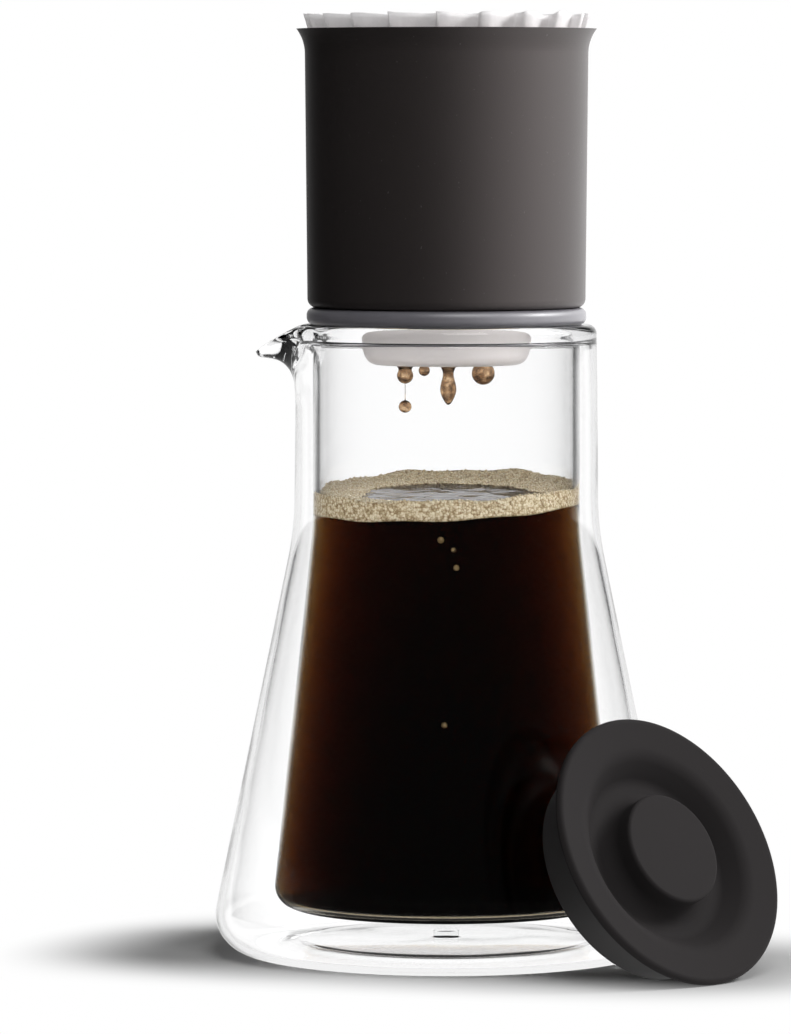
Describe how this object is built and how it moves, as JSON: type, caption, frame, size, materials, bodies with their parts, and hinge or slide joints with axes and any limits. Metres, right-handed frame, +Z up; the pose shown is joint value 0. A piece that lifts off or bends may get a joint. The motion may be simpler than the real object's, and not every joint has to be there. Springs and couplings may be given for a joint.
{
  "type": "pour-over coffee maker",
  "caption": "Pour-over coffee maker: double-wall glass carafe with a side spout, a lift-off insulated steel dripper holding a pleated paper filter, and a loose plug lid.",
  "frame": {"origin": "centre of the carafe's foot, on the table", "axes": "+Z up along the carafe's axis, -X towards the spout, -Y towards the front"},
  "size_m": [0.15, 0.1504, 0.2545],
  "materials": {
    "clear_glass": "clear fire-polished borosilicate glass",
    "vent_plug": "translucent grey silicone",
    "black_coat": "matte black powder coat",
    "bare_steel": "satin drawn stainless steel",
    "getter_steel": "dull sintered metal",
    "solder_glass": "dark solder glass",
    "grey_silicone": "smooth slate grey silicone",
    "paper": "white crimped filter paper",
    "lid_plastic": "soft-touch charcoal plastic",
    "lid_silicone": "matte dark grey silicone"
  },
  "bodies": {
    "carafe": {"carafe_outer_wall": "clear_glass", "carafe_inner_wall": "clear_glass", "carafe_vent_seal": "vent_plug"},
    "dripper": {"dripper_outer_shell": "black_coat", "dripper_inner_cup": "bare_steel", "dripper_jacket_plate": "bare_steel", "dripper_getter": "getter_steel", "dripper_port_seal": "solder_glass", "dripper_gasket": "grey_silicone"},
    "filter": {"paper_filter": "paper"},
    "lid": {"lid_cap": "lid_plastic", "lid_seal": "lid_silicone", "lid_inner_disc": "lid_plastic"}
  },
  "joints": [
    {"name": "dripper_lift", "type": "slide", "parent": "carafe", "child": "dripper", "axis": [0, 0, 1], "range_m": [0, 0.12]},
    {"name": "filter_lift", "type": "slide", "parent": "dripper", "child": "filter", "axis": [0, 0, 1], "range_m": [0, 0.1]},
    {"name": "lid_lift", "type": "slide", "parent": "carafe", "child": "lid", "axis": [0, 0, 1], "range_m": [0, 0.2]}
  ]
}
